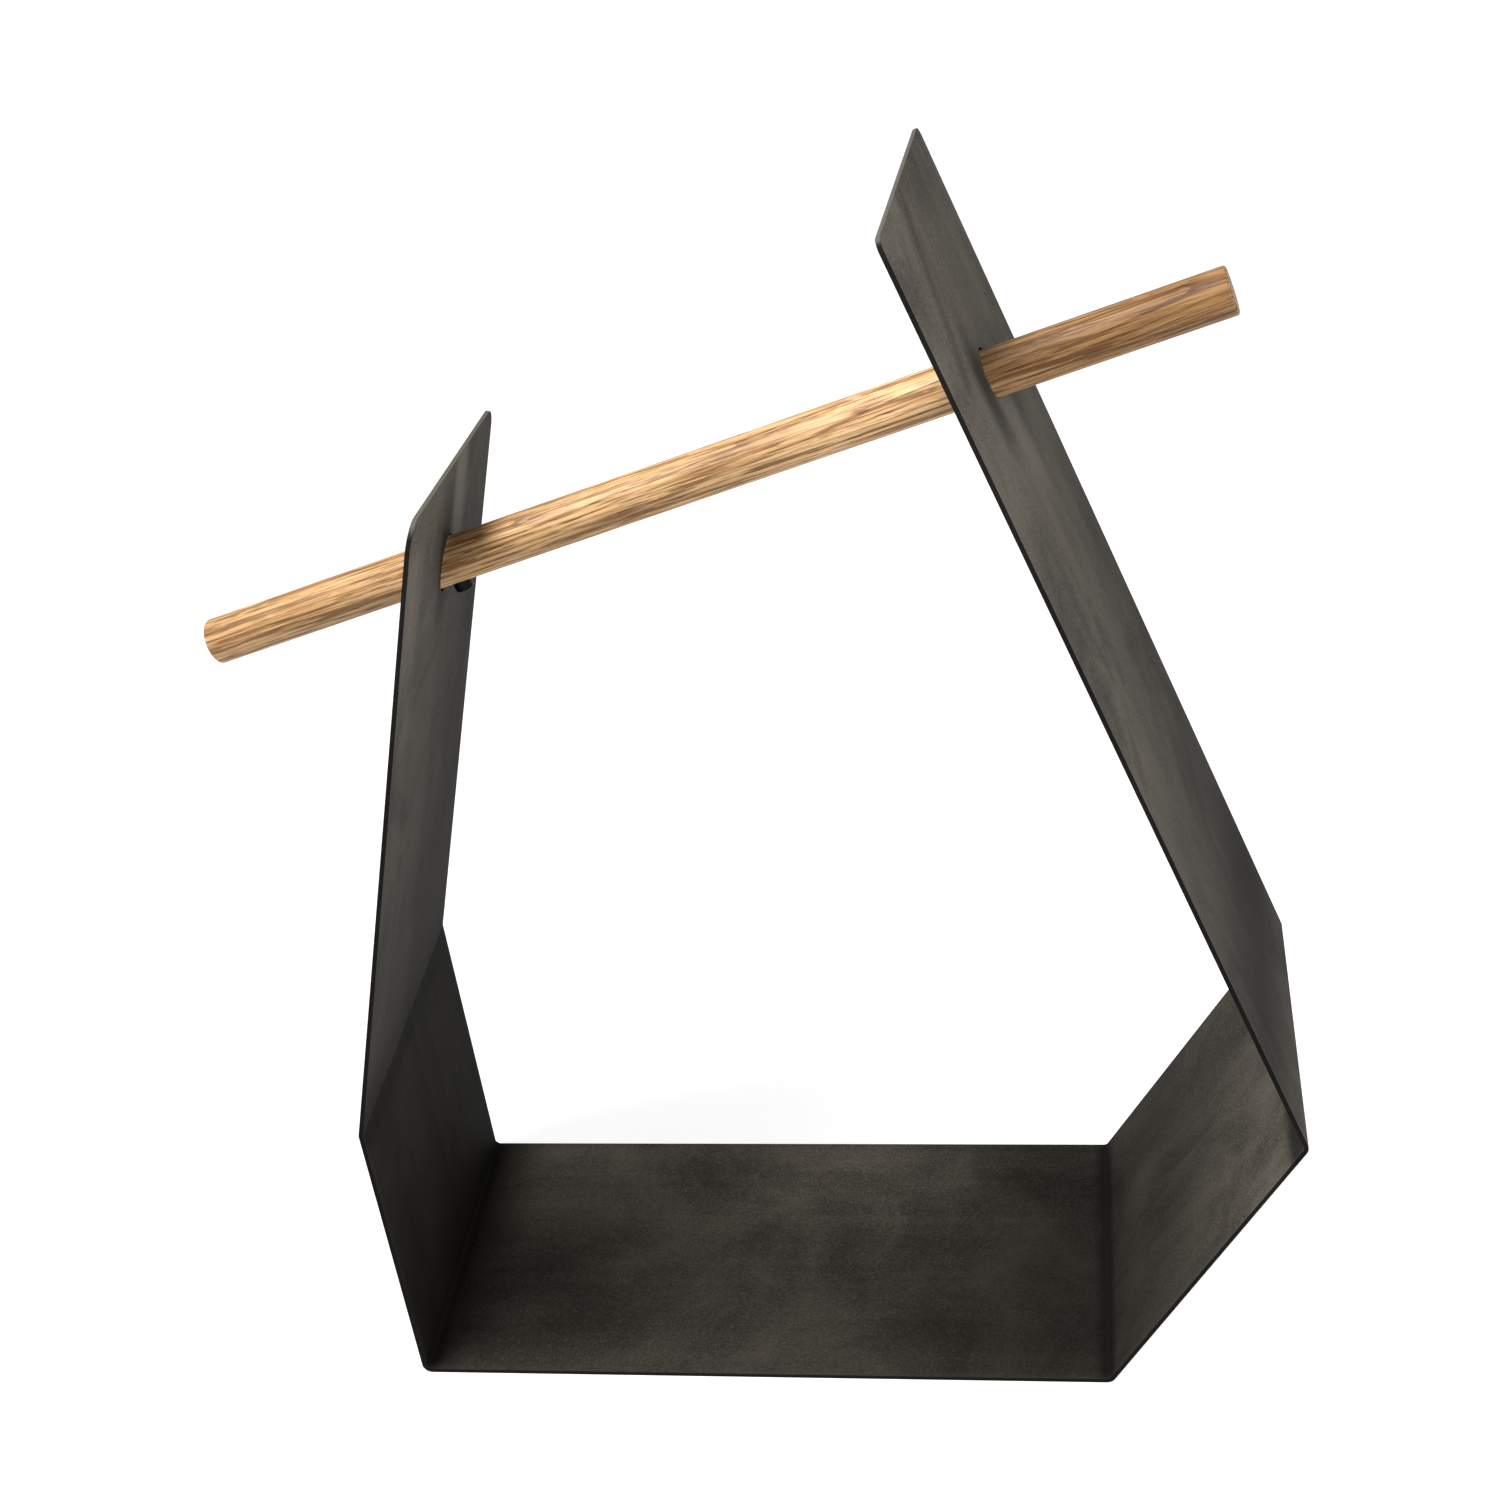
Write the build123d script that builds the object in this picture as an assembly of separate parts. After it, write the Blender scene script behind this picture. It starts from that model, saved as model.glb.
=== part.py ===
from build123d import *
from math import cos, radians, sin, sqrt, tan
import os

# Firewood log rack: one strip of steel sheet folded into an open, leaning band, with a round oak
# rod pushed through both of its walls on a slope. A cap screw in the rod's underside stops the
# rod from sliding out through the lower wall.
#
# Millimetres. X runs across the rack, with the rod rising towards +X. Y runs from front to back,
# and Z is up. The origin is the centre of the flat underside, where the rack stands.

# ---- the folded band ----
SHEET = 2.5                    # thickness of the steel
BAND_DEPTH = 208.0             # width of the strip, along Y
INNER_BEND_RADIUS = 3.5

BOTTOM_WIDTH = 406.0           # between the two floor folds
LEFT_FOLD = (-212.0, 180.0)    # where the left wall turns inwards, as X and Z of the outer face
LEFT_TOP = (-125.7, 541.7)     # middle of the wall's top edge
RIGHT_FOLD = (310.0, 172.0)
RIGHT_TOP = (114.8, 679.3)

# The top edges are cut on a slant, with the front corner higher than the back one.
LEFT_CUT_SLANT = 7.2           # degrees
RIGHT_CUT_SLANT = 3.8
CUT_ALLOWANCE = 20.0           # extra length of sheet, up each wall, that the slanted cuts trim off
LEFT_CORNER_RADIUS = 14.0      # rounding of the two free corners at the top of each wall
RIGHT_CORNER_RADIUS = 6.0

# ---- the rod ----
ROD_DIAMETER = 25.0
ROD_LENGTH = 572.0
ROD_END_CHAMFER = 0.8
ROD_SLOPE = 17.9               # degrees above the floor
ROD_CENTRE = (-1.0, 528.3)     # X and Z of the middle of the rod

# The rod lies low in its holes: a small gap below it, and the rest of the play above it.
GAP_BELOW_ROD = 0.3
GAP_ABOVE_ROD = 1.1

# ---- the stop screw: a 6 mm cap screw with a hexagon socket ----
HEAD_DIAMETER = 10.0
HEAD_HEIGHT = 6.0
HEAD_EDGE = 0.6                # chamfer round the outer end of the head
SHANK_DIAMETER = 6.0
SHANK_LENGTH = 16.0
SOCKET_FLATS = 5.0
SOCKET_DEPTH = 3.0
SCREW_FROM_LEFT_END = 146.0    # along the rod
SEAT_CLEARANCE = 0.2           # the spot face is this much wider than the head, all round
SHANK_CLEARANCE = 0.05


def rod_direction():
    return Vector(cos(radians(ROD_SLOPE)), 0, sin(radians(ROD_SLOPE)))


def point_on_rod(distance_from_middle):
    middle = Vector(ROD_CENTRE[0], 0, ROD_CENTRE[1])
    return middle + rod_direction() * distance_from_middle


def rod_plane():
    """Origin at the rod's middle, Z along the rod towards its upper end, X level and to the back."""
    return Plane(origin=point_on_rod(0), x_dir=(0, 1, 0), z_dir=rod_direction())


def up_wall(fold, top):
    return Vector(top[0] - fold[0], 0, top[1] - fold[1]).normalized()


def through_wall(fold, top):
    """Square to the sheet, towards +X."""
    up = up_wall(fold, top)
    return Vector(up.Z, 0, -up.X)


def wall_plane(fold, top):
    """Origin where the rod's axis crosses the middle of the sheet, X up the wall, Z through it."""
    through = through_wall(fold, top)

    # The fold points lie on the outer face. The sheet is on the side that faces the other wall.
    inwards = through if fold[0] < 0 else through * -1
    on_middle = Vector(fold[0], 0, fold[1]) + inwards * (SHEET / 2)
    along_rod = (on_middle - point_on_rod(0)).dot(through) / rod_direction().dot(through)
    return Plane(origin=point_on_rod(along_rod), x_dir=up_wall(fold, top), z_dir=through)


def rod_hole(fold, top):
    """Cutter for the hole in one wall. The rod meets the wall at an angle, so the hole is longer
    up the wall than it is wide."""
    plane = wall_plane(fold, top)
    lean = rod_direction().get_angle(plane.z_dir)
    play = (GAP_BELOW_ROD + GAP_ABOVE_ROD) / 2
    half_width = ROD_DIAMETER / 2 + play
    half_height = half_width / cos(radians(lean)) + SHEET / 2 * tan(radians(lean))
    raised = (GAP_ABOVE_ROD - GAP_BELOW_ROD) / 2 / cos(radians(lean))
    with BuildPart() as cutter:
        with BuildSketch(plane):
            with Locations((raised, 0)):
                Ellipse(half_height, half_width)
        extrude(amount=3 * SHEET, both=True)
    return cutter.part


def untrimmed_end(fold, top):
    """X and Z of the wall's end before its slanted cut."""
    end = Vector(top[0], 0, top[1]) + up_wall(fold, top) * CUT_ALLOWANCE
    return (end.X, end.Z)


def slanted_offcut(fold, top, slant):
    """Everything above the slanted top edge of one wall."""
    square_to_cut = up_wall(fold, top) * cos(radians(slant)) + Vector(0, sin(radians(slant)), 0)
    cut = Plane(
        origin=(top[0], 0, top[1]),
        x_dir=through_wall(fold, top),
        z_dir=square_to_cut,
    )
    with BuildPart() as offcut:
        with BuildSketch(cut):
            Rectangle(8 * SHEET, 2 * BAND_DEPTH)
        extrude(amount=3 * CUT_ALLOWANCE)
    return offcut.part


def folded_steel_band():
    outer_corners = [
        untrimmed_end(LEFT_FOLD, LEFT_TOP),
        LEFT_FOLD,
        (-BOTTOM_WIDTH / 2, 0),
        (BOTTOM_WIDTH / 2, 0),
        RIGHT_FOLD,
        untrimmed_end(RIGHT_FOLD, RIGHT_TOP),
    ]
    with BuildPart() as band:
        with BuildSketch(Plane.XZ):
            with BuildLine():
                FilletPolyline(*outer_corners, radius=INNER_BEND_RADIUS + SHEET)
                offset(amount=SHEET, side=Side.LEFT)
            make_face()
        extrude(amount=BAND_DEPTH / 2, both=True)
        add(slanted_offcut(LEFT_FOLD, LEFT_TOP, LEFT_CUT_SLANT), mode=Mode.SUBTRACT)
        add(slanted_offcut(RIGHT_FOLD, RIGHT_TOP, RIGHT_CUT_SLANT), mode=Mode.SUBTRACT)

        # The free corners are the only short edges above the folds that run through the sheet.
        free_corners = [
            edge
            for edge in band.edges()
            if abs(edge.length - SHEET) < 0.01
            and abs(abs(edge.center().Y) - BAND_DEPTH / 2) < 0.01
            and edge.center().Z > max(LEFT_FOLD[1], RIGHT_FOLD[1])
        ]
        fillet([edge for edge in free_corners if edge.center().X < 0], radius=LEFT_CORNER_RADIUS)
        fillet([edge for edge in free_corners if edge.center().X > 0], radius=RIGHT_CORNER_RADIUS)

        add(rod_hole(LEFT_FOLD, LEFT_TOP), mode=Mode.SUBTRACT)
        add(rod_hole(RIGHT_FOLD, RIGHT_TOP), mode=Mode.SUBTRACT)
    return band.part


def screw_seat_radius():
    """Distance of the spot face from the rod's axis: deep enough for the head's rim to bear on wood."""
    rim = HEAD_DIAMETER / 2 + SEAT_CLEARANCE
    return sqrt((ROD_DIAMETER / 2) ** 2 - rim**2)


def screw_plane():
    """Origin on the spot face, Z pointing down and out of the rod, X along the rod."""
    out_of_rod = Vector(sin(radians(ROD_SLOPE)), 0, -cos(radians(ROD_SLOPE)))
    on_axis = point_on_rod(SCREW_FROM_LEFT_END - ROD_LENGTH / 2)
    return Plane(
        origin=on_axis + out_of_rod * screw_seat_radius(),
        x_dir=rod_direction(),
        z_dir=out_of_rod,
    )


def oak_rod():
    with BuildPart() as rod:
        with BuildSketch(rod_plane()):
            Circle(ROD_DIAMETER / 2)
        extrude(amount=ROD_LENGTH / 2, both=True)
        chamfer(rod.edges().filter_by(GeomType.CIRCLE), length=ROD_END_CHAMFER)

        with BuildSketch(screw_plane()):
            Circle(HEAD_DIAMETER / 2 + SEAT_CLEARANCE)
        extrude(amount=HEAD_HEIGHT, mode=Mode.SUBTRACT)
        with BuildSketch(screw_plane()):
            Circle(SHANK_DIAMETER / 2 + SHANK_CLEARANCE)
        extrude(amount=-SHANK_LENGTH - 1.0, mode=Mode.SUBTRACT)
    return rod.part


def stop_screw():
    with BuildPart() as screw:
        with BuildSketch(screw_plane()):
            Circle(HEAD_DIAMETER / 2)
        extrude(amount=HEAD_HEIGHT)
        outer_face = screw.faces().sort_by(Axis(screw_plane().origin, screw_plane().z_dir))[-1]
        chamfer(outer_face.edges(), length=HEAD_EDGE)
        with BuildSketch(screw_plane()):
            Circle(SHANK_DIAMETER / 2)
        extrude(amount=-SHANK_LENGTH)
        with BuildSketch(screw_plane().offset(HEAD_HEIGHT)):
            RegularPolygon(SOCKET_FLATS / 2, 6, major_radius=False)
        extrude(amount=-SOCKET_DEPTH, mode=Mode.SUBTRACT)
    return screw.part


parts = {
    "folded_steel_band": folded_steel_band(),
    "oak_rod": oak_rod(),
    "stop_screw": stop_screw(),
}

os.makedirs("parts", exist_ok=True)
for name, part in parts.items():
    export_step(part, f"parts/{name}.step")
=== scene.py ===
from math import atan2, cos, pi, radians, sin, sqrt, tan

import bmesh
import bpy
from mathutils import Matrix, Vector


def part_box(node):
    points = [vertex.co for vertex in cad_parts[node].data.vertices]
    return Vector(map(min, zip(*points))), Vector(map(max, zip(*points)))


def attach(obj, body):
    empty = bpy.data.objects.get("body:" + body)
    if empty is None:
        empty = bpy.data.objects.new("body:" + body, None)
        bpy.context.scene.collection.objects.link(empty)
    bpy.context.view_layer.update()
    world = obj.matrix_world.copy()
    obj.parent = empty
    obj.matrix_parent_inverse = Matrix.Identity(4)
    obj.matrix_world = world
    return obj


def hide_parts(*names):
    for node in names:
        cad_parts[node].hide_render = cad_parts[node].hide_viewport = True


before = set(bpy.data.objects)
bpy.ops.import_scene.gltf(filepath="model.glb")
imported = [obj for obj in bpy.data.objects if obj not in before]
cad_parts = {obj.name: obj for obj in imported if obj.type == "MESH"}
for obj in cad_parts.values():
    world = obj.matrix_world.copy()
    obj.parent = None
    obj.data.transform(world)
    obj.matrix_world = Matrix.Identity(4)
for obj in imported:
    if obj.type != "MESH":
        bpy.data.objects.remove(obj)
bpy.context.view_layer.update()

# A firewood log rack: a folded band of dark hot-rolled sheet, an oak rod through both of its walls,
# and the black cap screw that stops the rod. Metres throughout, in the CAD model's frame.

MM = 0.001

# ---- the band's sizes, as in the CAD model ----
SHEET = 2.5 * MM
INNER_BEND_RADIUS = 3.5 * MM
# Corners of the outer face, as (x, z), from the top of the left wall round to the top of the right.
OUTER_CORNERS = [
    Vector((-125.7, 541.7)) * MM,
    Vector((-212.0, 180.0)) * MM,
    Vector((-203.0, 0.0)) * MM,
    Vector((203.0, 0.0)) * MM,
    Vector((310.0, 172.0)) * MM,
    Vector((114.8, 679.3)) * MM,
]
# The top edges are cut on a slant, with the front corner higher than the back one.
LEFT_CUT_SLANT = radians(7.2)
RIGHT_CUT_SLANT = radians(3.8)
LEFT_CORNER_RADIUS = 14.0 * MM
RIGHT_CORNER_RADIUS = 6.0 * MM
EDGE_ROUNDING = 0.35 * MM      # the cut edges are broken, not sharp

# ---- the rod ----
ROD_RADIUS = 12.5 * MM
ROD_LENGTH = 572.0 * MM
ROD_SLOPE = radians(17.9)
ROD_CENTRE = Vector((-1.0, 0.0, 528.3)) * MM
ROD_END_ROUNDING = 1.4 * MM    # just inside the CAD model's chamfer
GAP_BELOW_ROD = 0.3 * MM
GAP_ABOVE_ROD = 1.1 * MM

# ---- the stop screw ----
HEAD_RADIUS = 5.0 * MM
HEAD_HEIGHT = 6.0 * MM
SHANK_RADIUS = 3.0 * MM
SHANK_LENGTH = 16.0 * MM
SOCKET_FLATS = 5.0 * MM
SOCKET_DEPTH = 3.0 * MM
SCREW_FROM_LEFT_END = 146.0 * MM
SEAT_CLEARANCE = 0.2 * MM

ROD_AXIS = Vector((cos(ROD_SLOPE), 0.0, sin(ROD_SLOPE)))
band_low, band_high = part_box("folded_steel_band")
BAND_DEPTH = band_high[1] - band_low[1]


# ------------------------------------------------------------------ the folded band

class FoldedStrip:
    """Maps the flat strip onto the folded band. A place on the strip is (u, v, w): u along the outer
    face from the middle of the left wall's top edge, v across it from front to back, from the middle,
    and w in from the outer face."""

    def __init__(self, corners, outer_radius):
        self.pieces = []
        self.flats = []
        self.folds = []
        self.length = 0.0
        trim_before = 0.0
        for i in range(len(corners) - 1):
            start, end = corners[i], corners[i + 1]
            along = (end - start).normalized()
            turn = 0.0
            if i + 2 < len(corners):
                next_along = (corners[i + 2] - end).normalized()
                turn = atan2(along.x * next_along.y - along.y * next_along.x, along.dot(next_along))
            trim_after = outer_radius * tan(turn / 2)
            first = start + along * trim_before
            flat_length = (end - start).length - trim_before - trim_after
            self.flats.append((self.length, self.length + flat_length))
            self.pieces.append(("flat", self.length, flat_length, first, along, 0.0))
            self.length += flat_length
            if turn:
                last = first + along * flat_length
                self.folds.append(self.length + outer_radius * turn / 2)
                self.pieces.append(("fold", self.length, outer_radius * turn, last, along, turn))
                self.length += outer_radius * turn
            trim_before = trim_after
        self.outer_radius = outer_radius

    def place(self, u, v, w):
        for kind, begins, length, origin, along, turn in self.pieces:
            if u <= begins + length or origin is self.pieces[-1][3]:
                break
        inwards = Vector((-along.y, along.x))
        if kind == "flat":
            point = origin + along * (u - begins) + inwards * w
        else:
            angle = (u - begins) / self.outer_radius
            centre = origin + inwards * self.outer_radius
            outwards = -inwards * cos(angle) + along * sin(angle)
            point = centre + outwards * (self.outer_radius - w)
        return Vector((point.x, v, point.y))

    def rod_crossing(self, flat_index):
        """u where the rod's axis crosses the middle of the sheet, and the angle between the rod and
        the flat's normal."""
        begins, _ = self.flats[flat_index]
        base = self.place(begins, 0.0, SHEET / 2)
        ahead = (self.place(begins + MM, 0.0, SHEET / 2) - base).normalized()
        normal = Vector((-ahead.z, 0.0, ahead.x))
        travel = (base - ROD_CENTRE).dot(normal) / ROD_AXIS.dot(normal)
        crossing = ROD_CENTRE + ROD_AXIS * travel
        lean = ROD_AXIS.angle(normal)
        return begins + (crossing - base).dot(ahead), min(lean, pi - lean)


def spread(start, end, spacing):
    """Values from start to end, evenly, no further apart than spacing."""
    steps = max(1, round((end - start) / spacing))
    return [start + (end - start) * i / steps for i in range(steps + 1)]


def merge(*runs):
    """Runs of rising values joined into one, with shared ends kept once."""
    values = []
    for run in runs:
        values += run if not values else run[1:]
    return values


HOLE_PATCH = 24.0 * MM         # half the side of the square patch of finer mesh round each hole
PATCH_SPACING = 3.0 * MM
PLAIN_SPACING = 7.0 * MM
FOLD_STEPS = 12
CORNER_STEPS = 10
ROUNDING_STEPS = 3


def corner_points(side, slant, corner_radius):
    """Round one free corner, from the cut edge to the side edge: how far up the wall, v, and the
    edge's outward normal. All lie just inside the rounding of the cut edges."""
    radius = corner_radius - EDGE_ROUNDING
    centre_v = side * (BAND_DEPTH / 2 - corner_radius)
    centre_up = -(corner_radius + centre_v * sin(slant)) / cos(slant)
    points = []
    for step in range(CORNER_STEPS + 1):
        angle = slant + (side * pi / 2 - slant) * step / CORNER_STEPS
        place = (centre_up + radius * cos(angle), centre_v + radius * sin(angle))
        points.append((*place, cos(angle), sin(angle)))
    return points


def top_columns(top_u, up, slant, corner_radius):
    """The columns round both corners of one wall's top, from its cut edge down. up is the sign of
    the way up the wall along the strip."""
    columns = []
    for ends in zip(corner_points(-1, slant, corner_radius), corner_points(1, slant, corner_radius)):
        columns.append([
            (top_u + up * rise, v, up * normal_u, normal_v)
            for rise, v, normal_u, normal_v in ends
        ])
    return columns


def plain_columns(start, end, spacing):
    """Columns from just after start to end. Each of the two is (u at the front, u at the back)."""
    steps = max(1, round((sum(end) - sum(start)) / 2 / spacing))
    side = BAND_DEPTH / 2 - EDGE_ROUNDING
    columns = []
    for step in range(1, steps + 1):
        front_u, back_u = [a + (b - a) * step / steps for a, b in zip(start, end)]
        columns.append([(front_u, -side, 0.0, -1.0), (back_u, side, 0.0, 1.0)])
    return columns


def strip_columns(strip, hole_places):
    """The columns of the sheet's mesh, from end to end of the strip. Each is its front end and its
    back end, as (u, v, normal_u, normal_v)."""
    left_top = top_columns(0.0, -1, LEFT_CUT_SLANT, LEFT_CORNER_RADIUS)
    right_top = top_columns(strip.length, 1, RIGHT_CUT_SLANT, RIGHT_CORNER_RADIUS)[::-1]
    last = len(strip.flats) - 1

    columns = list(left_top)
    for index, (begins, ends) in enumerate(strip.flats):
        start = [end[0] for end in left_top[-1]] if index == 0 else [begins, begins]
        stop = [end[0] for end in right_top[0]] if index == last else [ends, ends]
        if index in hole_places:
            before = [hole_places[index] - HOLE_PATCH] * 2
            after = [hole_places[index] + HOLE_PATCH] * 2
            columns += plain_columns(start, before, PLAIN_SPACING)
            columns += plain_columns(before, after, PATCH_SPACING)
            start = after
        columns += plain_columns(start, stop, PLAIN_SPACING)
        if index < last:
            next_begins = strip.flats[index + 1][0]
            columns += plain_columns([ends] * 2, [next_begins] * 2, (next_begins - ends) / FOLD_STEPS)
    return columns + right_top[1:]


def strip_rows():
    """Places across the strip, as shares of its half depth from the middle."""
    half = BAND_DEPTH / 2 - EDGE_ROUNDING
    support = 1.0 * MM
    right = merge(
        spread(0.0, HOLE_PATCH, PATCH_SPACING),
        spread(HOLE_PATCH, half - support, PLAIN_SPACING),
        [half - support, half],
    )
    return [-v / half for v in right[:0:-1]] + [v / half for v in right]


def build_band_mesh(strip):
    """The sheet as one closed mesh. Its UV map "strip" holds each place's (u, v). Its UV map "cut"
    holds 1 on the cut edges and 0 on the faces, and then how squarely the edge faces up the wall."""
    holes = {index: strip.rod_crossing(index) for index in (0, len(strip.flats) - 1)}
    columns = strip_columns(strip, {index: place for index, (place, _) in holes.items()})
    rows = strip_rows()
    last_column, last_row = len(columns) - 1, len(rows) - 1

    def strip_point(i, share):
        """(u, v) on column i."""
        front, back = columns[i]
        return tuple(a + (b - a) * (share + 1) / 2 for a, b in zip(front[:2], back[:2]))

    mesh = bmesh.new()
    place_of = {}
    cut_of = {}

    def vertex(u, v, w, cut=(0.0, 0.0)):
        made = mesh.verts.new(strip.place(u, v, w))
        place_of[made] = (u, v)
        cut_of[made] = cut
        return made

    def grid(w):
        return [[vertex(*strip_point(i, share), w) for share in rows] for i in range(len(columns))]

    outer, inner = grid(0.0), grid(SHEET)

    def in_patch(i, j):
        (u0, v0), (u1, v1) = strip_point(i, rows[j]), strip_point(i + 1, rows[j + 1])
        for place, _ in holes.values():
            if abs((u0 + u1) / 2 - place) < HOLE_PATCH and abs((v0 + v1) / 2) < HOLE_PATCH:
                return True
        return False

    for i in range(last_column):
        for j in range(last_row):
            if in_patch(i, j):
                continue
            mesh.faces.new((outer[i][j], outer[i][j + 1], outer[i + 1][j + 1], outer[i + 1][j]))
            mesh.faces.new((inner[i][j], inner[i + 1][j], inner[i + 1][j + 1], inner[i][j + 1]))

    def bridge(loop_a, loop_b):
        count = len(loop_a)
        for k in range(count):
            after = (k + 1) % count
            mesh.faces.new((loop_a[k], loop_b[k], loop_b[after], loop_a[after]))

    def rounding():
        """(outward share of the rounding, w) from the outer face to the inner one."""
        quarter = [pi / 2 * step / ROUNDING_STEPS for step in range(ROUNDING_STEPS + 1)]
        over = [(sin(a), EDGE_ROUNDING * (1 - cos(a))) for a in quarter[1:]]
        under = [(cos(a), SHEET - EDGE_ROUNDING * (1 - sin(a))) for a in quarter[:-1]]
        return over + under

    # The cut edge all round the strip, as one closed loop of (column, row) places.
    rim = [(i, 0) for i in range(last_column)]
    rim += [(last_column, j) for j in range(last_row)]
    rim += [(i, last_row) for i in range(last_column, 0, -1)]
    rim += [(0, j) for j in range(last_row, 0, -1)]

    def rim_vertex(i, j, outwards, w):
        u, v = strip_point(i, rows[j])
        normal_u, normal_v = columns[i][0 if j < last_row else 1][2:]
        reach = outwards * EDGE_ROUNDING
        return vertex(u + normal_u * reach, v + normal_v * reach, w, (1.0, normal_u**2))

    loops = [[outer[i][j] for i, j in rim]]
    for outwards, w in rounding():
        loops.append([rim_vertex(i, j, outwards, w) for i, j in rim])
    loops.append([inner[i][j] for i, j in rim])
    for loop_a, loop_b in zip(loops, loops[1:]):
        bridge(loop_a, loop_b)

    # Each hole: rings of mesh from its square patch in to an ellipse, then its rounded wall.
    play = (GAP_ABOVE_ROD + GAP_BELOW_ROD) / 2
    for index, (place, lean) in holes.items():
        half_width = ROD_RADIUS + play
        half_height = half_width / cos(lean) + SHEET / 2 * tan(lean)
        raised = (GAP_ABOVE_ROD - GAP_BELOW_ROD) / 2 / cos(lean)
        centre_u = place - raised if index == 0 else place + raised
        reach = HOLE_PATCH + 0.1 * MM
        near = [i for i in range(len(columns)) if abs(strip_point(i, 0.0)[0] - place) < reach]
        across = [j for j, share in enumerate(rows) if abs(strip_point(near[0], share)[1]) < reach]
        i0, i1, j0, j1 = near[0], near[-1], across[0], across[-1]
        square = [(i, j0) for i in range(i0, i1)]
        square += [(i1, j) for j in range(j0, j1)]
        square += [(i, j1) for i in range(i1, i0, -1)]
        square += [(i0, j) for j in range(j1, j0, -1)]

        def ellipse_point(i, j, extra):
            u, v = strip_point(i, rows[j])
            angle = atan2(v, u - centre_u)
            return centre_u + (half_height + extra) * cos(angle), (half_width + extra) * sin(angle)

        def ring(share, w):
            points = []
            for i, j in square:
                (u0, v0), (u1, v1) = strip_point(i, rows[j]), ellipse_point(i, j, EDGE_ROUNDING)
                points.append(vertex(u0 + (u1 - u0) * share, v0 + (v1 - v0) * share, w))
            return points

        shares = (0.35, 0.65, 0.88, 1.0)
        loops = [[outer[i][j] for i, j in square]] + [ring(share, 0.0) for share in shares]
        for outwards, w in rounding():
            extra = EDGE_ROUNDING * (1 - outwards)
            loops.append([vertex(*ellipse_point(i, j, extra), w, (1.0, 0.0)) for i, j in square])
        loops += [ring(share, SHEET) for share in shares[::-1]] + [[inner[i][j] for i, j in square]]
        for loop_a, loop_b in zip(loops, loops[1:]):
            bridge(loop_b, loop_a)

    bmesh.ops.recalc_face_normals(mesh, faces=mesh.faces)
    place_layer = mesh.loops.layers.uv.new("strip")
    cut_layer = mesh.loops.layers.uv.new("cut")
    for face in mesh.faces:
        face.smooth = True
        for loop in face.loops:
            loop[place_layer].uv = place_of[loop.vert]
            loop[cut_layer].uv = cut_of[loop.vert]
    return mesh


def add_object(name, mesh, material, matrix=None):
    if matrix:
        bmesh.ops.transform(mesh, matrix=matrix, verts=mesh.verts)
    data = bpy.data.meshes.new(name)
    mesh.to_mesh(data)
    mesh.free()
    data.materials.append(material)
    made = bpy.data.objects.new(name, data)
    bpy.context.scene.collection.objects.link(made)
    return made


# ------------------------------------------------------------------ the rod and the screw

def rod_matrix():
    """Local X along the rod, Y level and to the back, Z up and across the rod, origin at its middle."""
    across = Vector((-sin(ROD_SLOPE), 0.0, cos(ROD_SLOPE)))
    turn = Matrix((ROD_AXIS, Vector((0, 1, 0)), across)).transposed()
    return Matrix.Translation(ROD_CENTRE) @ turn.to_4x4()


def seat_distance():
    """From the rod's axis to the spot face under the screw's head."""
    return sqrt(ROD_RADIUS**2 - (HEAD_RADIUS + SEAT_CLEARANCE) ** 2)


def screw_matrix():
    """Local Z out of the rod, down and away from its axis, origin on the spot face."""
    place = Matrix.Translation((SCREW_FROM_LEFT_END - ROD_LENGTH / 2, 0.0, -seat_distance()))
    return rod_matrix() @ place @ Matrix.Rotation(pi, 4, "X")


def lathe(mesh, profile, segments, radius_at=None):
    """Rings of mesh round Z. profile is a list of (radius, z); a ring of radius 0 is one point."""
    rings = []
    for radius, z in profile:
        if radius == 0.0:
            rings.append([mesh.verts.new((0.0, 0.0, z))])
            continue
        ring = []
        for k in range(segments):
            angle = 2 * pi * k / segments
            here = radius_at(radius, z, angle) if radius_at else radius
            ring.append(mesh.verts.new((here * cos(angle), here * sin(angle), z)))
        rings.append(ring)
    for below, above in zip(rings, rings[1:]):
        for k in range(segments):
            after = (k + 1) % segments
            if len(below) == 1:
                mesh.faces.new((below[0], above[after], above[k]))
            elif len(above) == 1:
                mesh.faces.new((below[k], below[after], above[0]))
            else:
                mesh.faces.new((below[k], below[after], above[after], above[k]))
    return rings


def rounded_edge(radius, z, rounding):
    """(radius, z) round the edge of an end face at z, from the side to the face."""
    angles = [pi / 2 * step / 6 for step in range(7)]
    return [(radius - rounding * (1 - cos(a)), z - rounding * (1 - sin(a))) for a in angles]


def build_rod_mesh():
    mesh = bmesh.new()
    half = ROD_LENGTH / 2
    upper = rounded_edge(ROD_RADIUS, half, ROD_END_ROUNDING)
    upper += [(ROD_RADIUS * share, half) for share in (0.85, 0.6, 0.3, 0.0)]
    side = [(ROD_RADIUS, z) for z in spread(-half + ROD_END_ROUNDING, half - ROD_END_ROUNDING, 5.0 * MM)]
    lower = [(radius, -z) for radius, z in upper[::-1]]
    lathe(mesh, lower + side[1:-1] + upper, 96)
    bmesh.ops.transform(mesh, matrix=Matrix.Rotation(pi / 2, 4, "Y"), verts=mesh.verts)
    bmesh.ops.recalc_face_normals(mesh, faces=mesh.faces)
    return mesh


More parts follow.
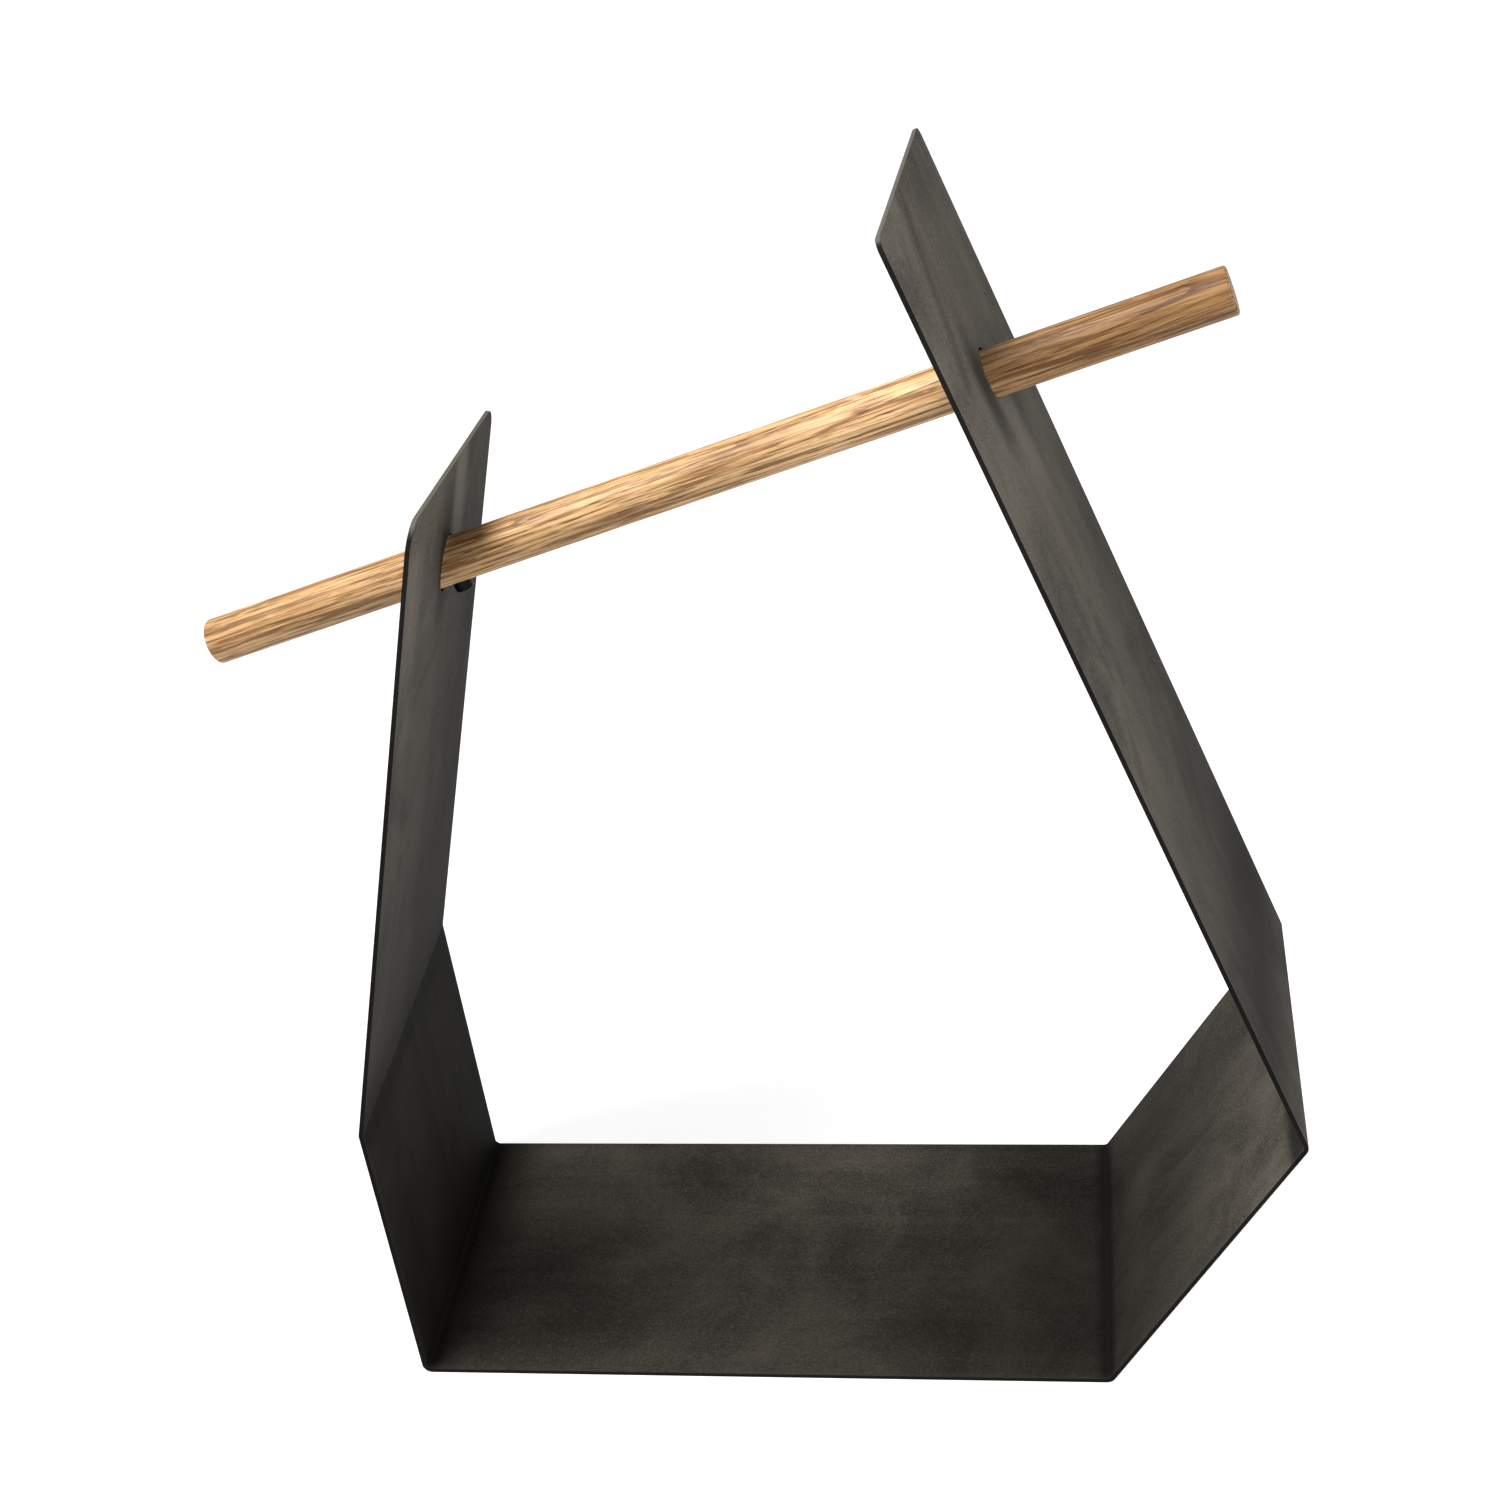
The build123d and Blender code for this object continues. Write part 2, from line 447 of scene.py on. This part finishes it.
def cut_screw_seat(rod):
    """Takes the spot face and the pilot hole out of the rod's mesh."""
    mesh = bmesh.new()
    bottom = -SHANK_LENGTH - 1.0 * MM
    pilot = SHANK_RADIUS + 0.05 * MM
    seat = HEAD_RADIUS + SEAT_CLEARANCE
    outline = [
        (0.0, bottom),
        (pilot, bottom),
        (pilot, 0.0),
        (seat, 0.0),
        (seat, HEAD_HEIGHT),
        (0.0, HEAD_HEIGHT),
    ]
    lathe(mesh, outline, 64)
    bmesh.ops.recalc_face_normals(mesh, faces=mesh.faces)
    cutter = add_object("seat_cutter", mesh, rod.data.materials[0], screw_matrix())
    boolean = rod.modifiers.new("seat", "BOOLEAN")
    boolean.operation = "DIFFERENCE"
    boolean.solver = "EXACT"
    boolean.object = cutter
    bpy.context.view_layer.update()
    evaluated = rod.evaluated_get(bpy.context.evaluated_depsgraph_get())
    cut = bpy.data.meshes.new_from_object(evaluated)
    rod.modifiers.clear()
    rod.data = cut
    bpy.data.objects.remove(cutter)


KNURLS = 36
KNURL_DEPTH = 0.12 * MM


def build_screw_mesh():
    mesh = bmesh.new()
    segments = KNURLS * 4

    def knurled(radius, z, angle):
        if radius < HEAD_RADIUS - 0.01 * MM or not 0.8 * MM < z < HEAD_HEIGHT - 1.2 * MM:
            return radius
        wave = abs((angle * KNURLS / (2 * pi)) % 1.0 - 0.5) * 2
        return radius - KNURL_DEPTH * wave

    rounding = 0.6 * MM
    outline = [(0.0, -SHANK_LENGTH), (SHANK_RADIUS - 0.8 * MM, -SHANK_LENGTH)]
    outline += [(SHANK_RADIUS, -SHANK_LENGTH + 0.8 * MM), (SHANK_RADIUS, 0.0)]
    outline += [(HEAD_RADIUS - 0.2 * MM, 0.0), (HEAD_RADIUS, 0.2 * MM)]
    outline += [(HEAD_RADIUS, z) for z in spread(0.7 * MM, HEAD_HEIGHT - 1.1 * MM, 0.5 * MM)]
    for step in range(6):
        angle = pi / 2 * step / 5
        outline.append((HEAD_RADIUS - rounding * (1 - cos(angle)), HEAD_HEIGHT - rounding * (1 - sin(angle))))
    socket_corner = SOCKET_FLATS / sqrt(3)
    outline.append((socket_corner + 0.5 * MM, HEAD_HEIGHT))
    rings = lathe(mesh, outline, segments, knurled)

    # The hexagon socket: the last ring steps in to a hexagon, which goes down to a cone.
    def hexagon(angle):
        sixth = (angle % (pi / 3)) - pi / 6
        return SOCKET_FLATS / 2 / cos(sixth)

    previous = rings[-1]
    for scale, z in ((1.06, HEAD_HEIGHT), (1.0, HEAD_HEIGHT - 0.2 * MM), (1.0, HEAD_HEIGHT - SOCKET_DEPTH)):
        ring = []
        for k in range(segments):
            angle = 2 * pi * k / segments
            reach = hexagon(angle) * scale
            ring.append(mesh.verts.new((reach * cos(angle), reach * sin(angle), z)))
        for k in range(segments):
            after = (k + 1) % segments
            mesh.faces.new((previous[k], previous[after], ring[after], ring[k]))
        previous = ring
    tip = mesh.verts.new((0.0, 0.0, HEAD_HEIGHT - SOCKET_DEPTH - 0.3 * MM))
    for k in range(segments):
        mesh.faces.new((previous[k], previous[(k + 1) % segments], tip))
    bmesh.ops.recalc_face_normals(mesh, faces=mesh.faces)
    return mesh


def smooth_by_angle(piece, degrees):
    """Smooth shading that breaks where faces meet at more than this angle."""
    piece.data.shade_smooth()
    piece.data.set_sharp_from_angle(angle=radians(degrees))


# ------------------------------------------------------------------ materials

class Shader:
    """A material under construction: make() adds a node, sets its values and wires its inputs."""

    def __init__(self, name):
        self.material = bpy.data.materials.new(name)
        self.material.use_nodes = True
        self.tree = self.material.node_tree
        self.surface = self.tree.nodes["Principled BSDF"]

    def make(self, kind, values=None, **inputs):
        node = self.tree.nodes.new(kind)
        for key, value in (values or {}).items():
            setattr(node, key, value)
        for key, value in inputs.items():
            self.feed(node.inputs[key.replace("_", " ")], value)
        return node

    def feed(self, socket, value):
        if isinstance(value, bpy.types.NodeSocket):
            self.tree.links.new(value, socket)
        else:
            socket.default_value = value

    def math(self, operation, a, b=0.0, clamp=False):
        node = self.make("ShaderNodeMath", {"operation": operation, "use_clamp": clamp})
        self.feed(node.inputs[0], a)
        self.feed(node.inputs[1], b)
        return node.outputs[0]

    def noise(self, vector, scale, detail=2.0, roughness=0.5, distortion=0.0):
        node = self.make(
            "ShaderNodeTexNoise", Vector=vector, Scale=scale, Detail=detail,
            Roughness=roughness, Distortion=distortion,
        )
        return node.outputs["Fac"]

    def stretch(self, vector, scale, rotation=(0.0, 0.0, 0.0), location=(0.0, 0.0, 0.0)):
        node = self.make(
            "ShaderNodeMapping", Vector=vector, Scale=scale, Rotation=rotation, Location=location
        )
        return node.outputs[0]

    def between(self, value, low, high, to_low=0.0, to_high=1.0):
        """value's run from low to high, smoothly, as to_low to to_high."""
        node = self.make("ShaderNodeMapRange", {"interpolation_type": "SMOOTHSTEP"})
        self.feed(node.inputs["Value"], value)
        for key, number in (("From Min", low), ("From Max", high), ("To Min", to_low), ("To Max", to_high)):
            node.inputs[key].default_value = number
        return node.outputs[0]

    def ramp(self, value, stops):
        """Brightness that passes smoothly through stops, a list of (place from 0 to 1, brightness)."""
        node = self.make("ShaderNodeValToRGB", Fac=value)
        node.color_ramp.interpolation = "EASE"
        elements = node.color_ramp.elements
        for index, (place, brightness) in enumerate(stops):
            element = elements[index] if index < 2 else elements.new(place)
            element.position = place
            element.color = (brightness, brightness, brightness, 1.0)
        return node.outputs["Color"]

    def blend(self, share, a, b, mode="MIX"):
        node = self.make("ShaderNodeMix", {"data_type": "RGBA", "blend_type": mode})
        self.feed(node.inputs["Factor"], share)
        self.feed(node.inputs["A"], a)
        self.feed(node.inputs["B"], b)
        return node.outputs["Result"]

    def bump(self, height, distance, strength=1.0, normal=None):
        node = self.make("ShaderNodeBump", Height=height, Distance=distance, Strength=strength)
        if normal:
            self.feed(node.inputs["Normal"], normal)
        return node.outputs[0]


def colour(red, green, blue):
    return (red, green, blue, 1.0)


def make_steel(strip):
    """Hot-rolled sheet, blackened and oiled: near-black mill scale with long rolling streaks, soft
    clouds, a fine salt-and-pepper grain, paler side edges and painted shade along the folds."""
    shader = Shader("blackened_steel")
    strip_uv = shader.make("ShaderNodeUVMap", {"uv_map": "strip"}).outputs["UV"]
    parts = shader.make("ShaderNodeSeparateXYZ", Vector=strip_uv)
    along, across = parts.outputs[0], parts.outputs[1]
    solid = shader.make("ShaderNodeTexCoord").outputs["Object"]

    clouds = shader.noise(solid, 11.0, 5.0, 0.62, 0.8)
    streaks = shader.noise(shader.stretch(strip_uv, (2.5, 95.0, 1.0)), 1.0, 5.0, 0.62, 0.3)
    broad_streaks = shader.noise(shader.stretch(strip_uv, (1.1, 24.0, 1.0)), 1.0, 3.0, 0.55, 0.2)
    grain = shader.noise(solid, 900.0, 3.0, 0.8)
    flecks = shader.noise(solid, 560.0, 4.0, 0.85)

    # How near a place is to the cut edges and to the folds, from the strip's own coordinates.
    from_side = shader.math("SUBTRACT", BAND_DEPTH / 2, shader.math("ABSOLUTE", across))
    near_side = shader.between(from_side, 0.5 * MM, 6.0 * MM, 1.0, 0.0)
    cut_uv = shader.make("ShaderNodeUVMap", {"uv_map": "cut"}).outputs["UV"]
    cut_parts = shader.make("ShaderNodeSeparateXYZ", Vector=cut_uv)
    on_cut = shader.between(cut_parts.outputs[0], 0.3, 0.9)
    on_top = shader.between(cut_parts.outputs[1], 0.3, 0.9)
    # Painted shade in each fold and just beside it, where the bent sheet shades itself.
    painted_fold_shade = 0.0
    for fold, towards_floor in zip(strip.folds, (7.0 * MM, 0.0, 0.0, -7.0 * MM)):
        distance = shader.math("ABSOLUTE", shader.math("SUBTRACT", along, fold + towards_floor))
        painted_fold_shade = shader.math("MAXIMUM", painted_fold_shade, shader.between(distance, 2.5 * MM, 11.0 * MM, 1.0, 0.0))

    # By each rod hole, a soft painted reflection streak and a painted patch of the rod's shade beside it.
    # These two and the tones below were fitted, and are painted light and shade on the sheet.
    def patch(flat_index, up, rise, half_height, middle, half_width):
        hole, _ = strip.rod_crossing(flat_index)
        from_middle = shader.math("SUBTRACT", along, hole + up * rise)
        height_share = shader.math("DIVIDE", shader.math("ABSOLUTE", from_middle), half_height)
        from_line = shader.math("SUBTRACT", across, middle)
        width_share = shader.math("DIVIDE", shader.math("ABSOLUTE", from_line), half_width)
        in_height = shader.between(height_share, 0.15, 1.0, 1.0, 0.0)
        in_width = shader.between(width_share, 0.15, 1.0, 1.0, 0.0)
        return shader.math("MULTIPLY", in_height, in_width)

    right = len(strip.flats) - 1
    painted_reflection_streaks = shader.math(
        "MAXIMUM",
        patch(0, -1, 44 * MM, 66 * MM, 22 * MM, 24 * MM),
        shader.math("MULTIPLY", patch(right, 1, -44 * MM, 50 * MM, 10 * MM, 28 * MM), 0.40),
    )
    painted_shadow_patches = shader.math(
        "MAXIMUM",
        patch(0, -1, 6 * MM, 66 * MM, -8 * MM, 20 * MM),
        patch(right, 1, 0.0, 48 * MM, -24 * MM, 24 * MM),
    )

    # Painted light and shade along the strip: palest up the right wall, deepest on the lower left flat.
    (_, left_low), lower_left, bottom, lower_right, (right_low, _) = strip.flats
    stops = [
        (0.0, 1.20),
        (left_low - 0.20, 0.68),
        (left_low - 0.08, 0.42),
        (lower_left[0] + 0.02, 0.19),
        (lower_left[1], 0.11),
        (bottom[0] + 0.04, 0.66),
        ((bottom[0] + bottom[1]) / 2, 0.72),
        (bottom[1] - 0.02, 0.36),
        (lower_right[0] + 0.05, 0.52),
        (lower_right[1] - 0.04, 1.10),
        (right_low + 0.06, 0.22),
        (right_low + 0.14, 0.58),
        (right_low + 0.25, 0.95),
        (strip.length, 1.30),
    ]
    painted_light_along_strip = shader.ramp(
        shader.math("DIVIDE", along, strip.length), [(place / strip.length, tone) for place, tone in stops]
    )
    # Painted light and shade from front to back: the walls lighter in front, the bottom lighter behind,
    # fading towards the bottom's right end.
    on_bottom = shader.math(
        "MULTIPLY",
        shader.between(along, bottom[0] - 0.02, bottom[0] + 0.05),
        shader.between(along, bottom[1] - 0.02, lower_right[1], 1.0, 0.0),
    )
    walls_paler_in_front = shader.between(across, -BAND_DEPTH / 2, BAND_DEPTH / 2, 1.15, 0.70)
    from_front = shader.between(across, -BAND_DEPTH / 2, BAND_DEPTH / 2)
    paler_behind = shader.math("MULTIPLY", shader.math("POWER", from_front, 2.5), 2.3)
    fading_rightwards = shader.between(along, bottom[1] - 0.17, bottom[1], 1.0, 0.15)
    paler_behind = shader.math("MULTIPLY", paler_behind, fading_rightwards)
    bottom_paler_behind = shader.math("ADD", 0.78, paler_behind)
    painted_light_front_to_back = shader.blend(on_bottom, walls_paler_in_front, bottom_paler_behind)

    tone = shader.math("MULTIPLY", clouds, 0.36)
    tone = shader.math("ADD", tone, shader.math("MULTIPLY", streaks, 0.08))
    tone = shader.math("ADD", tone, shader.math("MULTIPLY", broad_streaks, 0.16))
    tone = shader.math("ADD", tone, shader.math("MULTIPLY", grain, 0.40))
    tone = shader.between(tone, 0.38, 0.62)
    base = shader.blend(tone, colour(0.028, 0.0252, 0.0205), colour(0.094, 0.084, 0.068))
    base = shader.blend(shader.between(flecks, 0.54, 0.70, 0.0, 0.50), base, colour(0.160, 0.146, 0.122))
    base = shader.blend(shader.between(flecks, 0.30, 0.46, 0.50, 0.0), base, colour(0.012, 0.011, 0.010))
    # Painted reflection streaks and painted shadow patches by the rod holes.
    base = shader.blend(shader.math("MULTIPLY", painted_reflection_streaks, 0.90), base, colour(0.170, 0.156, 0.132))
    base = shader.blend(shader.math("MULTIPLY", painted_shadow_patches, 0.75), base, colour(0.012, 0.011, 0.010))
    # Painted light and shade along the strip, panel by panel.
    base = shader.blend(1.0, base, painted_light_along_strip, "MULTIPLY")
    # Painted light and shade from front to back.
    base = shader.blend(1.0, base, painted_light_front_to_back, "MULTIPLY")
    # Painted shade along the folds.
    base = shader.blend(shader.math("MULTIPLY", painted_fold_shade, 0.80), base, colour(0.005, 0.0048, 0.0045))
    base = shader.blend(shader.math("MULTIPLY", near_side, 0.10), base, colour(0.070, 0.060, 0.048))
    # The cut edges are near-black; the top cuts, which face up, get a painted highlight.
    cut_edge_and_top_highlight = shader.blend(on_top, colour(0.004, 0.004, 0.004), colour(0.115, 0.103, 0.088))
    base = shader.blend(shader.math("MULTIPLY", on_cut, 0.92), base, cut_edge_and_top_highlight)

    rough = shader.math("ADD", 0.66, shader.math("MULTIPLY", streaks, 0.16))
    rough = shader.math("ADD", rough, shader.math("MULTIPLY", flecks, 0.10))

    dents = shader.bump(shader.noise(solid, 14.0, 2.0, 0.5), 0.5 * MM, 0.35)
    pits = shader.bump(flecks, 0.06 * MM, 0.6, dents)
    surface = shader.surface
    shader.feed(surface.inputs["Base Color"], base)
    shader.feed(surface.inputs["Roughness"], rough)
    shader.feed(surface.inputs["Normal"], shader.bump(grain, 0.03 * MM, 0.5, pits))
    surface.inputs["Specular IOR Level"].default_value = 0.07
    surface.inputs["Specular Tint"].default_value = colour(1.0, 0.93, 0.84)
    return shader.material


def make_oak():
    """Oiled oak: rings cut by the rod into long curved figures, rows of short dark pores along the
    grain, fine fibres, and a few pale flecks. One solid pattern, so the ends show end grain."""
    shader = Shader("oiled_oak")
    straight = shader.make("ShaderNodeTexCoord").outputs["Object"]
    to_rod = Matrix.Rotation(ROD_SLOPE, 3, "Y")
    solid = shader.stretch(straight, (1.0, 1.0, 1.0), (0.0, ROD_SLOPE, 0.0), tuple(-(to_rod @ ROD_CENTRE)))

    # The heart of the tree lies beside the rod and a little out of line with it.
    wander = shader.noise(shader.stretch(solid, (5.0, 20.0, 20.0)), 1.0, 3.0, 0.55)
    parts = shader.make("ShaderNodeSeparateXYZ", Vector=solid)
    lean = shader.math("MULTIPLY", parts.outputs[0], 0.030)
    from_heart_y = shader.math("ADD", shader.math("ADD", parts.outputs[1], lean), 0.020)
    from_heart_z = shader.math("ADD", parts.outputs[2], -0.034)
    squares = shader.math(
        "ADD",
        shader.math("MULTIPLY", from_heart_y, from_heart_y),
        shader.math("MULTIPLY", from_heart_z, from_heart_z),
    )
    radius = shader.math("SQRT", squares)
    radius = shader.math("ADD", radius, shader.math("MULTIPLY", wander, 0.012))
    rings = shader.math("FRACT", shader.math("MULTIPLY", radius, 330.0))

    fibres = shader.noise(shader.stretch(solid, (30.0, 1200.0, 1200.0)), 1.0, 3.0, 0.7)
    streaks = shader.noise(shader.stretch(solid, (17.0, 520.0, 520.0)), 1.0, 4.0, 0.65, 0.6)
    figure = shader.noise(shader.stretch(solid, (7.0, 120.0, 120.0)), 1.0, 3.0, 0.6, 0.8)
    pores = shader.noise(shader.stretch(solid, (70.0, 1300.0, 1300.0)), 1.0, 1.0, 0.4)
    warmth = shader.noise(shader.stretch(solid, (3.0, 30.0, 30.0)), 1.0, 3.0, 0.5)
    rays = shader.noise(shader.stretch(solid, (60.0, 160.0, 700.0)), 1.0, 1.0, 0.4)

    early_wood = shader.between(rings, 0.0, 0.40, 1.0, 0.0)
    base = shader.blend(warmth, colour(0.60, 0.355, 0.155), colour(0.76, 0.49, 0.245))
    base = shader.blend(shader.between(figure, 0.42, 0.62, 0.0, 0.50), base, colour(0.34, 0.175, 0.060))
    base = shader.blend(shader.between(streaks, 0.46, 0.60, 0.0, 0.90), base, colour(0.19, 0.085, 0.026))
    base = shader.blend(shader.math("MULTIPLY", early_wood, 0.66), base, colour(0.19, 0.085, 0.026))
    base = shader.blend(shader.between(fibres, 0.50, 0.70, 0.0, 0.55), base, colour(0.12, 0.052, 0.016))
    base = shader.blend(shader.between(rays, 0.66, 0.74, 0.0, 0.40), base, colour(0.72, 0.49, 0.28))
    pore_places = shader.between(pores, 0.58, 0.68)
    pore_share = shader.math("MULTIPLY", pore_places, shader.math("ADD", early_wood, 0.25))
    base = shader.blend(shader.math("MULTIPLY", pore_share, 0.85, True), base, colour(0.085, 0.036, 0.012))

    # Painted light just inside the right wall and painted shade towards the upper end, also fitted.
    paler = shader.math(
        "MULTIPLY",
        shader.between(parts.outputs[0], 0.02, 0.09),
        shader.between(parts.outputs[0], 0.12, 0.15, 1.0, 0.0),
    )
    base = shader.blend(paler, base, shader.blend(1.0, base, colour(1.34, 1.38, 1.45), "MULTIPLY"))
    darker = shader.between(parts.outputs[0], 0.12, 0.24)
    base = shader.blend(darker, base, shader.blend(1.0, base, colour(0.54, 0.47, 0.38), "MULTIPLY"))

    rough = shader.math("ADD", 0.42, shader.math("MULTIPLY", fibres, 0.18))
    fibre_bump = shader.bump(fibres, 0.06 * MM, 0.6)
    pore_bump = shader.bump(shader.math("MULTIPLY", pore_share, -1.0), 0.10 * MM, 0.7, fibre_bump)
    surface = shader.surface
    shader.feed(surface.inputs["Base Color"], base)
    shader.feed(surface.inputs["Roughness"], rough)
    shader.feed(surface.inputs["Normal"], pore_bump)
    surface.inputs["Specular IOR Level"].default_value = 0.28
    return shader.material


def make_black_oxide():
    """The cap screw: black oxide with a faint oily mottle."""
    shader = Shader("black_oxide")
    solid = shader.make("ShaderNodeTexCoord").outputs["Object"]
    mottle = shader.noise(solid, 700.0, 3.0, 0.6)
    base = shader.blend(mottle, colour(0.0015, 0.0015, 0.0015), colour(0.005, 0.0048, 0.0045))
    shader.feed(shader.surface.inputs["Base Color"], base)
    rough = shader.math("ADD", 0.26, shader.math("MULTIPLY", mottle, 0.2))
    shader.feed(shader.surface.inputs["Roughness"], rough)
    shader.feed(shader.surface.inputs["Normal"], shader.bump(mottle, 0.02 * MM, 0.4))
    shader.surface.inputs["Specular IOR Level"].default_value = 0.12
    return shader.material


def make_floor_paint():
    shader = Shader("pale_floor")
    solid = shader.make("ShaderNodeTexCoord").outputs["Object"]
    cast = shader.noise(solid, 3.0, 2.0, 0.5)
    base = shader.blend(cast, colour(0.42, 0.42, 0.42), colour(0.45, 0.45, 0.45))
    shader.feed(shader.surface.inputs["Base Color"], base)
    shader.surface.inputs["Roughness"].default_value = 0.9
    shader.surface.inputs["Emission Color"].default_value = colour(1.0, 1.0, 1.0)
    shader.surface.inputs["Emission Strength"].default_value = 0.8
    return shader.material


# ------------------------------------------------------------------ the object

strip = FoldedStrip(OUTER_CORNERS, INNER_BEND_RADIUS + SHEET)

band = add_object("steel_band", build_band_mesh(strip), make_steel(strip))
weighted = band.modifiers.new("flat_faces_stay_flat", "WEIGHTED_NORMAL")
weighted.keep_sharp = True
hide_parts("folded_steel_band")
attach(band, "band")

rod = add_object("oak_rod_turned", build_rod_mesh(), make_oak(), rod_matrix())
cut_screw_seat(rod)
smooth_by_angle(rod, 35)
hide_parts("oak_rod")
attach(rod, "rod")

screw = add_object("stop_cap_screw", build_screw_mesh(), make_black_oxide(), screw_matrix())
smooth_by_angle(screw, 35)
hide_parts("stop_screw")
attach(screw, "rod")


# ------------------------------------------------------------------ floor, light and camera

FLOOR_HALF_WIDTH = 60.0        # its edge stays out of sight from 20 degrees up

floor_mesh = bmesh.new()
bmesh.ops.create_grid(floor_mesh, x_segments=8, y_segments=8, size=FLOOR_HALF_WIDTH)
floor = add_object("floor", floor_mesh, make_floor_paint())

world = bpy.data.worlds.new("studio")
world.use_nodes = True
world.node_tree.nodes["Background"].inputs["Color"].default_value = colour(1.0, 1.0, 1.0)
world.node_tree.nodes["Background"].inputs["Strength"].default_value = 0.45
bpy.context.scene.world = world
bpy.context.scene.view_settings.view_transform = "Standard"


def aim(piece, target, roll=0.0):
    look = (Vector(target) - piece.location).to_track_quat("-Z", "Y").to_matrix().to_4x4()
    piece.matrix_world = Matrix.Translation(piece.location) @ look @ Matrix.Rotation(roll, 4, "Z")


def soft_box(name, place, target, width, height, watts):
    data = bpy.data.lights.new(name, "AREA")
    data.shape = "RECTANGLE"
    data.size = width
    data.size_y = height
    data.energy = watts
    light = bpy.data.objects.new(name, data)
    light.location = place
    bpy.context.scene.collection.objects.link(light)
    aim(light, target)
    return light


soft_box("key", (-0.70, -0.45, 1.90), (0.0, 0.0, 0.4), 0.6, 0.6, 38.0)
soft_box("right_fill", (1.70, -0.50, 1.10), (0.0, 0.0, 0.4), 0.8, 0.8, 16.0)

# The photograph's viewing angle: a little right of the middle, looking down, and slightly tilted.
CAMERA_PLACE = (0.208, -1.158, 1.054)
CAMERA_TARGET = (0.0175, 0.0, 0.361)
CAMERA_ROLL = radians(-5.9)
CAMERA_LENS = 59.5

camera_data = bpy.data.cameras.new("camera")
camera_data.lens = CAMERA_LENS
camera_data.sensor_width = 36.0
camera = bpy.data.objects.new("camera", camera_data)
camera.location = CAMERA_PLACE
bpy.context.scene.collection.objects.link(camera)
aim(camera, CAMERA_TARGET, CAMERA_ROLL)
bpy.context.scene.camera = camera


bpy.context.view_layer.update()
